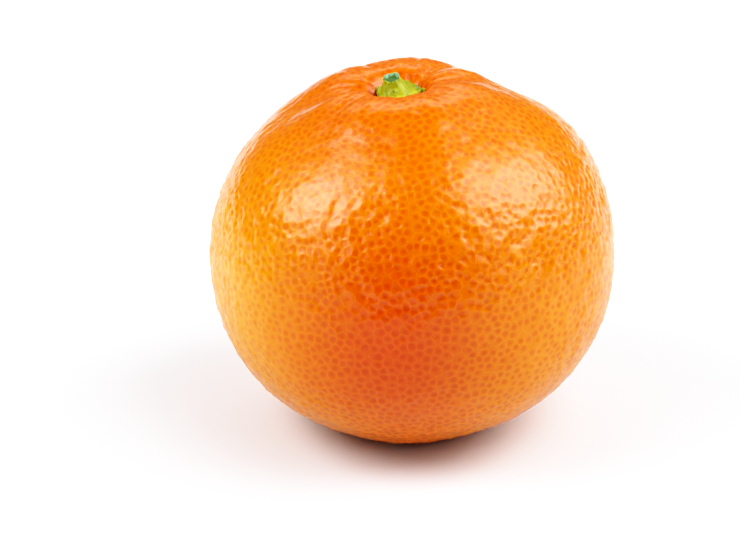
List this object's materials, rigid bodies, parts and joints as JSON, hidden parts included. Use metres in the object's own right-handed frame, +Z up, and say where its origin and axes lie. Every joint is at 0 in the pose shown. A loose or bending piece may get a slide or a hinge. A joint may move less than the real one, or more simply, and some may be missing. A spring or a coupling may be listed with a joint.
{
  "type": "mandarin",
  "caption": "Whole loose-skinned citrus fruit, slightly flattened, with a lobed collar and dimple at the stem end, a green stem button and a small flat spot underneath to rest on.",
  "frame": {"origin": "centre of the bounding box's underside, in the plane that the fruit rests on", "axes": "+Z up, from the flat spot to the stem end; +X to the right and -Y towards the viewer as the fruit is shown; the stem end leans a few degrees towards -X"},
  "size_m": [0.062, 0.0616, 0.0565],
  "materials": {
    "rind": "satin, finely pitted",
    "sepals": "matt",
    "stem": "matt"
  },
  "bodies": {
    "root": {"fruit": "rind", "calyx": "sepals", "stem": "stem"}
  },
  "joints": []
}
